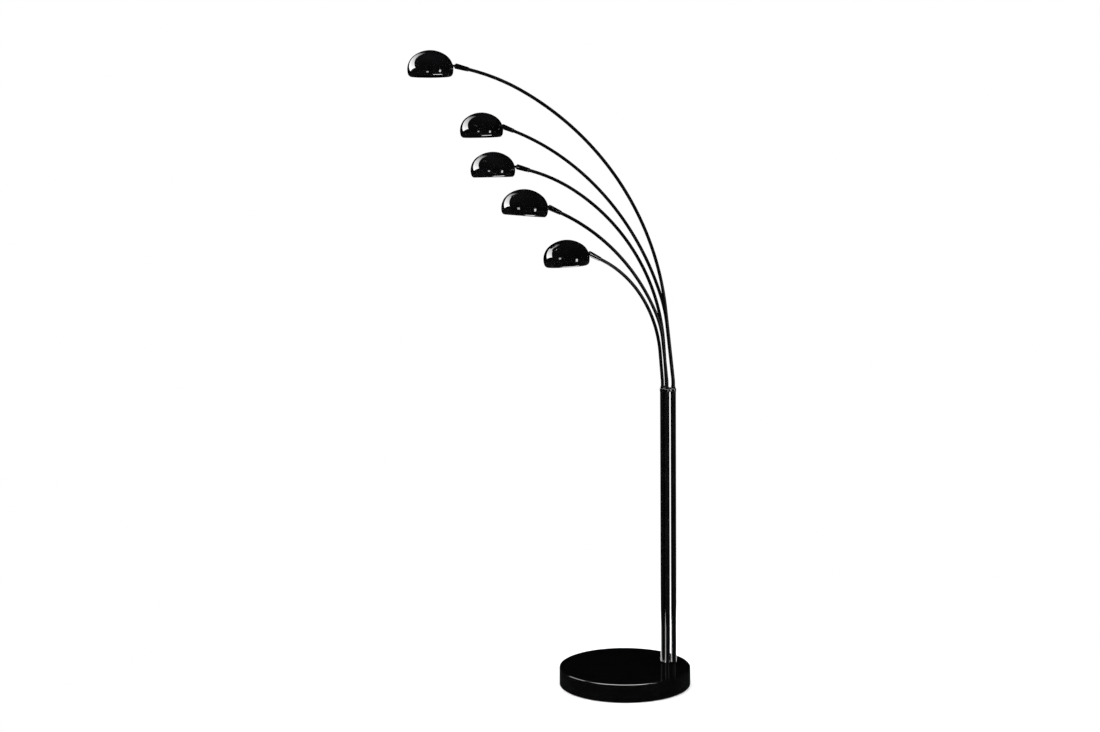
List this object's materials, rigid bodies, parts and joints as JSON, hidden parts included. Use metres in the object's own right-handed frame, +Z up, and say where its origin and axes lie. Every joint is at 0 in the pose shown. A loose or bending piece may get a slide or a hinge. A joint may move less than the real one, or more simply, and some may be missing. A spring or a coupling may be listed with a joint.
{
  "type": "tree floor lamp",
  "caption": "Tree floor lamp with curved swivelling arms and dome shades on ball joints, rising from a bundle of slim stems on a heavy round base.",
  "frame": {"origin": "centre of the round base on the floor", "axes": "+Z up; the stems stand on the +X side of the base and the arms lean towards -X"},
  "size_m": [0.8143, 0.6956, 1.921],
  "materials": {
    "black_gloss": "gloss",
    "black_chrome": "polished",
    "stone": "polished",
    "felt": "felt",
    "zinc": "satin",
    "brass": "satin",
    "sheath": "matte",
    "terminal": "matte",
    "black_plastic": "satin",
    "opal_glass": "opal"
  },
  "bodies": {
    "stand": {"base_disc": "stone", "floor_pad": "felt", "base_cover": "zinc", "cover_screws": "zinc", "stem_1": "black_gloss", "stem_2": "black_gloss", "stem_3": "black_gloss", "stem_4": "black_gloss", "stem_5": "black_gloss", "stem_anchors": "zinc", "foot_nuts": "zinc", "top_cap": "black_gloss", "guide_bushes": "brass", "terminal_block": "terminal", "cord_gland": "black_plastic"},
    "arm_1": {"arm_1_tube": "black_gloss", "arm_1_collars": "black_gloss", "arm_1_lead": "sheath", "arm_1_joint_sleeve": "black_gloss"},
    "ball_1": {"arm_1_ball_stud": "black_chrome", "arm_1_lamp_holder": "black_plastic", "arm_1_bulb": "opal_glass"},
    "head_1": {"arm_1_shade": "black_gloss", "arm_1_shade_bush": "black_plastic"},
    "arm_2": {"arm_2_tube": "black_gloss", "arm_2_collars": "black_gloss", "arm_2_lead": "sheath", "arm_2_joint_sleeve": "black_gloss"},
    "ball_2": {"arm_2_ball_stud": "black_chrome", "arm_2_lamp_holder": "black_plastic", "arm_2_bulb": "opal_glass"},
    "head_2": {"arm_2_shade": "black_gloss", "arm_2_shade_bush": "black_plastic"},
    "arm_3": {"arm_3_tube": "black_gloss", "arm_3_collars": "black_gloss", "arm_3_lead": "sheath", "arm_3_joint_sleeve": "black_gloss"},
    "ball_3": {"arm_3_ball_stud": "black_chrome", "arm_3_lamp_holder": "black_plastic", "arm_3_bulb": "opal_glass"},
    "head_3": {"arm_3_shade": "black_gloss", "arm_3_shade_bush": "black_plastic"},
    "arm_4": {"arm_4_tube": "black_gloss", "arm_4_collars": "black_gloss", "arm_4_lead": "sheath", "arm_4_joint_sleeve": "black_gloss"},
    "ball_4": {"arm_4_ball_stud": "black_chrome", "arm_4_lamp_holder": "black_plastic", "arm_4_bulb": "opal_glass"},
    "head_4": {"arm_4_shade": "black_gloss", "arm_4_shade_bush": "black_plastic"},
    "arm_5": {"arm_5_tube": "black_gloss", "arm_5_collars": "black_gloss", "arm_5_lead": "sheath", "arm_5_joint_sleeve": "black_gloss"},
    "ball_5": {"arm_5_ball_stud": "black_chrome", "arm_5_lamp_holder": "black_plastic", "arm_5_bulb": "opal_glass"},
    "head_5": {"arm_5_shade": "black_gloss", "arm_5_shade_bush": "black_plastic"}
  },
  "joints": [
    {"name": "arm_1_swivel", "type": "hinge", "parent": "stand", "child": "arm_1", "pos_m": [0.15508, -0.01418, 0.907], "axis": [0, 0, 1], "range_deg": [-12, 25]},
    {"name": "head_1_tilt", "type": "hinge", "parent": "arm_1", "child": "ball_1", "pos_m": [-0.46741, 0.14102, 1.87378], "axis": [-0.2419, -0.9703, 0], "range_deg": [-37, 23]},
    {"name": "head_1_turn", "type": "hinge", "parent": "ball_1", "child": "head_1", "pos_m": [-0.46741, 0.14102, 1.87378], "axis": [-0.9609, 0.2396, 0.1392], "range_deg": [-90, 90]},
    {"name": "arm_2_swivel", "type": "hinge", "parent": "stand", "child": "arm_2", "pos_m": [0.16091, 0.00616, 0.907], "axis": [0, 0, 1], "range_deg": [-30, 12]},
    {"name": "head_2_tilt", "type": "hinge", "parent": "arm_2", "child": "ball_2", "pos_m": [-0.26675, 0.37792, 1.70522], "axis": [-0.6561, -0.7547, 0], "range_deg": [-44, 16]},
    {"name": "head_2_turn", "type": "hinge", "parent": "ball_2", "child": "head_2", "pos_m": [-0.26675, 0.37792, 1.70522], "axis": [-0.7491, 0.6512, 0.1219], "range_deg": [-90, 90]},
    {"name": "arm_3_swivel", "type": "hinge", "parent": "stand", "child": "arm_3", "pos_m": [0.14337, 0.01799, 0.907], "axis": [0, 0, 1], "range_deg": [-30, 12]},
    {"name": "head_3_tilt", "type": "hinge", "parent": "arm_3", "child": "ball_3", "pos_m": [-0.26792, 0.20111, 1.57783], "axis": [-0.4067, -0.9135, 0], "range_deg": [-39, 21]},
    {"name": "head_3_turn", "type": "hinge", "parent": "ball_3", "child": "head_3", "pos_m": [-0.26792, 0.20111, 1.57783], "axis": [-0.9057, 0.4033, 0.1305], "range_deg": [-90, 90]},
    {"name": "arm_4_swivel", "type": "hinge", "parent": "stand", "child": "arm_4", "pos_m": [0.13393, -0.01492, 0.907], "axis": [0, 0, 1], "range_deg": [-12, 30]},
    {"name": "head_4_tilt", "type": "hinge", "parent": "arm_4", "child": "ball_4", "pos_m": [-0.23862, -0.04752, 1.45721], "axis": [0.0872, -0.9962, 0], "range_deg": [-42, 18]},
    {"name": "head_4_turn", "type": "hinge", "parent": "ball_4", "child": "head_4", "pos_m": [-0.23862, -0.04752, 1.45721], "axis": [-0.9707, -0.0849, 0.225], "range_deg": [-90, 90]},
    {"name": "arm_5_swivel", "type": "hinge", "parent": "stand", "child": "arm_5", "pos_m": [0.1267, 0.00496, 0.907], "axis": [0, 0, 1], "range_deg": [-30, 8]},
    {"name": "head_5_tilt", "type": "hinge", "parent": "arm_5", "child": "ball_5", "pos_m": [-0.11294, -0.03299, 1.31975], "axis": [0.1564, -0.9877, 0], "range_deg": [-38, 8.5]},
    {"name": "head_5_turn", "type": "hinge", "parent": "ball_5", "child": "head_5", "pos_m": [-0.11294, -0.03299, 1.31975], "axis": [-0.9846, -0.156, 0.0785], "range_deg": [-90, 90]}
  ]
}
